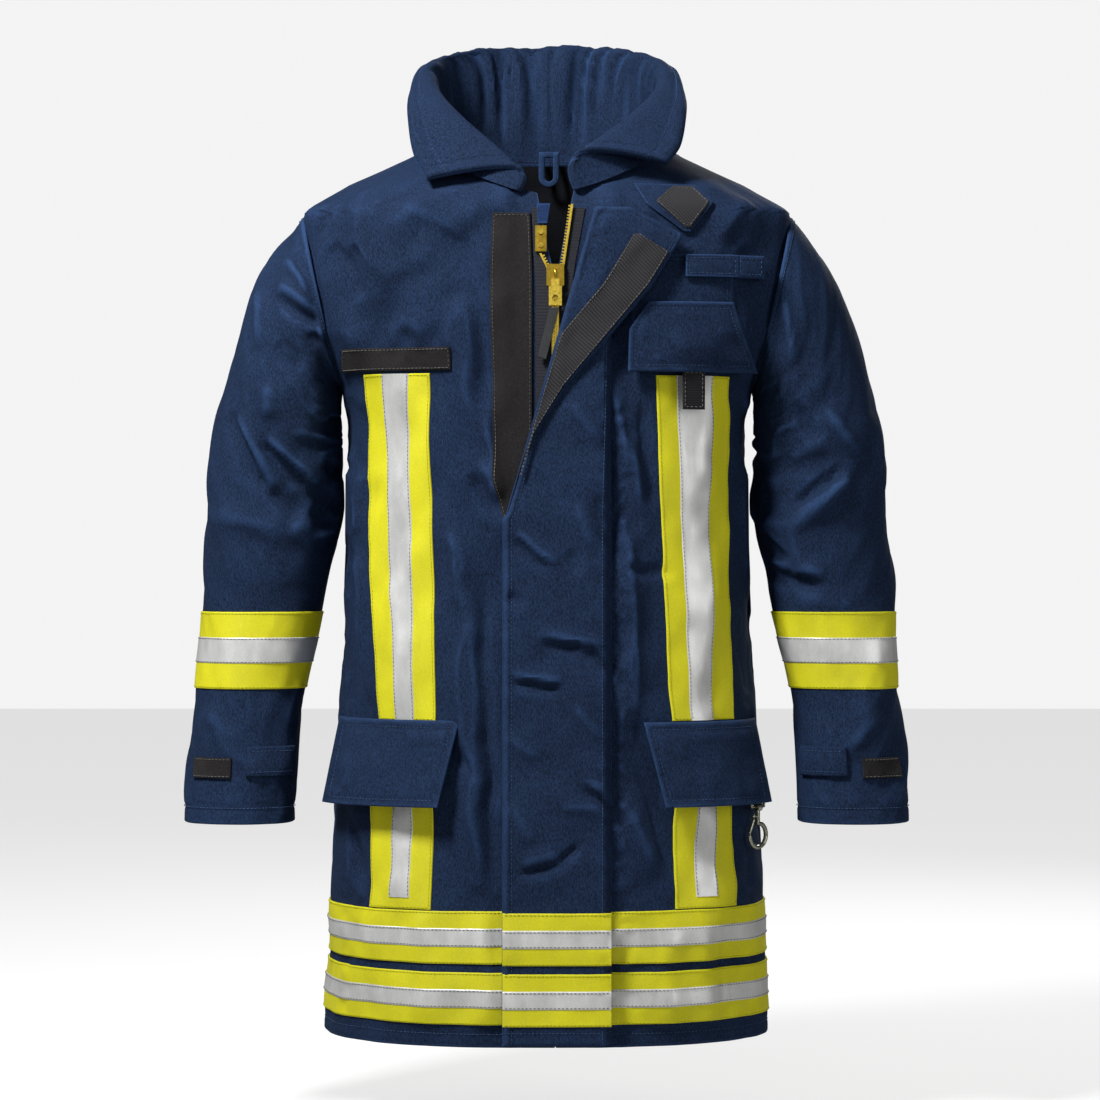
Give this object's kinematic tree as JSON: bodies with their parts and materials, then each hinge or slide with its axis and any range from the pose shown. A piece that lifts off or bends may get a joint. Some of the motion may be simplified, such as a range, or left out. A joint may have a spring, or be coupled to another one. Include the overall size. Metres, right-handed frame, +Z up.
{
  "type": "turnout coat",
  "caption": "Three-quarter-length padded firefighter's coat with storm flap, zip, hook-and-loop closures, flap pockets and reflective tape.",
  "frame": {"origin": "on the middle line between the two sides, at the level of the hem, near the middle of the hem's depth", "axes": "+Z up, the wearer faces -Y, and the wearer's left is at +X"},
  "size_m": [0.718, 0.3327, 0.9862],
  "materials": {
    "navy_fabric": "woven aramid, matt",
    "membrane": "smooth laminate",
    "lining": "quilted aramid",
    "knit": "ribbed knit",
    "fluorescent_tape": "fluorescent woven",
    "silver_tape": "glass-bead retroreflective",
    "loop_tape": "napped loops",
    "hook_tape": "moulded hooks",
    "zip_webbing": "woven",
    "black_webbing": "woven",
    "brass": "polished",
    "pull_rubber": "smooth",
    "nickel": "satin nickel"
  },
  "bodies": {
    "coat_body": {"outer_shell_back": "navy_fabric", "outer_shell_front_left": "navy_fabric", "outer_shell_front_right": "navy_fabric", "moisture_barrier": "membrane", "thermal_lining": "lining", "pocket_bags": "lining", "hem_tapes": "fluorescent_tape", "hem_tape_silver": "silver_tape", "vertical_tapes": "fluorescent_tape", "vertical_tape_silver": "silver_tape", "name_loop_strip": "loop_tape", "storm_flap": "navy_fabric", "storm_flap_hook_tape": "hook_tape", "placket_loop_tape": "loop_tape", "flap_loop_patches": "loop_tape", "radio_pocket": "navy_fabric", "mic_strap": "navy_fabric", "collar": "navy_fabric", "hanger_loop": "navy_fabric", "zip_chain_left": "brass", "zip_chain_right": "brass", "zip_tapes": "zip_webbing", "zip_guard": "navy_fabric", "zip_box_and_stop": "brass", "ring_webbing": "black_webbing"},
    "lapel": {"storm_flap_lapel": "navy_fabric", "lapel_hook_tape": "hook_tape"},
    "throat_strap": {"throat_tab": "navy_fabric", "throat_tab_hook_patch": "hook_tape"},
    "slider": {"zip_slider": "brass"},
    "puller": {"zip_puller": "brass"},
    "pull_cord": {"zip_pull_cord": "pull_rubber"},
    "radio_flap": {"radio_pocket_flap": "navy_fabric", "radio_pull_tab": "black_webbing"},
    "ring": {"square_ring": "nickel"},
    "hook": {"snap_hook": "nickel"},
    "gate": {"snap_hook_gate": "nickel"},
    "flap_left": {"pocket_flap_left": "navy_fabric", "flap_hook_patch_left": "hook_tape"},
    "upper_arm_left": {"upper_sleeve_left": "navy_fabric", "upper_sleeve_lining_left": "lining"},
    "forearm_left": {"forearm_sleeve_left": "navy_fabric", "forearm_lining_left": "lining", "sleeve_tape_left": "fluorescent_tape", "sleeve_tape_silver_left": "silver_tape", "knitted_wristlet_left": "knit", "cuff_loop_patch_left": "loop_tape"},
    "cuff_strap_left": {"cuff_tab_left": "navy_fabric"},
    "flap_right": {"pocket_flap_right": "navy_fabric", "flap_hook_patch_right": "hook_tape"},
    "upper_arm_right": {"upper_sleeve_right": "navy_fabric", "upper_sleeve_lining_right": "lining"},
    "forearm_right": {"forearm_sleeve_right": "navy_fabric", "forearm_lining_right": "lining", "sleeve_tape_right": "fluorescent_tape", "sleeve_tape_silver_right": "silver_tape", "knitted_wristlet_right": "knit", "cuff_loop_patch_right": "loop_tape"},
    "cuff_strap_right": {"cuff_tab_right": "navy_fabric"}
  },
  "joints": [
    {"name": "shoulder_left", "type": "hinge", "parent": "coat_body", "child": "upper_arm_left", "pos_m": [0.246, 0, 0.8165], "axis": [0, -1, 0], "range_deg": [0, 75]},
    {"name": "elbow_left", "type": "hinge", "parent": "upper_arm_left", "child": "forearm_left", "pos_m": [0.2725, -0.0615, 0.51], "axis": [-1, 0, 0], "range_deg": [0, 90]},
    {"name": "shoulder_right", "type": "hinge", "parent": "coat_body", "child": "upper_arm_right", "pos_m": [-0.246, 0, 0.8165], "axis": [0, 1, 0], "range_deg": [0, 75]},
    {"name": "elbow_right", "type": "hinge", "parent": "upper_arm_right", "child": "forearm_right", "pos_m": [-0.2725, -0.0615, 0.51], "axis": [-1, 0, 0], "range_deg": [0, 90]},
    {"name": "cuff_tab_left_peel", "type": "hinge", "parent": "forearm_left", "child": "cuff_strap_left", "pos_m": [0.24999, -0.04384, 0.255], "axis": [0.0619, -0.1333, -0.9891], "range_deg": [0, 80]},
    {"name": "cuff_tab_right_peel", "type": "hinge", "parent": "forearm_right", "child": "cuff_strap_right", "pos_m": [-0.24999, -0.04384, 0.255], "axis": [0.0619, 0.1333, 0.9891], "range_deg": [0, 80]},
    {"name": "pocket_flap_left_lift", "type": "hinge", "parent": "coat_body", "child": "flap_left", "pos_m": [0.12442, -0.12792, 0.312], "axis": [-0.9397, -0.342, 0], "range_deg": [0, 100]},
    {"name": "pocket_flap_right_lift", "type": "hinge", "parent": "coat_body", "child": "flap_right", "pos_m": [-0.12367, -0.1281, 0.314], "axis": [-0.9397, 0.342, 0], "range_deg": [0, 100]},
    {"name": "radio_flap_lift", "type": "hinge", "parent": "coat_body", "child": "radio_flap", "pos_m": [0.18137, -0.11614, 0.718], "axis": [-0.9272, -0.3746, 0], "range_deg": [0, 90]},
    {"name": "throat_tab_lift", "type": "hinge", "parent": "coat_body", "child": "throat_strap", "pos_m": [0.13516, -0.0962, 0.839], "axis": [-0.9511, -0.309, 0], "range_deg": [0, 60]},
    {"name": "lapel_close", "type": "hinge", "parent": "coat_body", "child": "lapel", "pos_m": [-0.03914, -0.14772, 0.513], "axis": [-0.2766, -0.0397, -0.9602], "range_deg": [0, 185]},
    {"name": "zip_slide", "type": "slide", "parent": "coat_body", "child": "slider", "axis": [0, -0.0422, -0.9991], "range_m": [0, 0.64]},
    {"name": "puller_lift", "type": "hinge", "parent": "slider", "child": "puller", "pos_m": [0.008, -0.12692, 0.74059], "axis": [1, 0, 0], "range_deg": [-70, 0]},
    {"name": "pull_cord_swing", "type": "hinge", "parent": "puller", "child": "pull_cord", "pos_m": [0.007, -0.12764, 0.71189], "axis": [1, 0, 0], "range_deg": [-60, 0]},
    {"name": "ring_swing", "type": "hinge", "parent": "coat_body", "child": "ring", "pos_m": [0.207, -0.064, 0.245], "axis": [-0.7071, -0.7071, 0], "range_deg": [0, 10]},
    {"name": "snap_hook_swing", "type": "hinge", "parent": "ring", "child": "hook", "pos_m": [0.207, -0.064, 0.225], "axis": [-0.7071, -0.7071, 0], "range_deg": [0, 60]},
    {"name": "snap_hook_gate_open", "type": "hinge", "parent": "hook", "child": "gate", "pos_m": [0.20262, -0.06838, 0.2122], "axis": [0.7071, -0.7071, 0], "range_deg": [0, 18]}
  ]
}
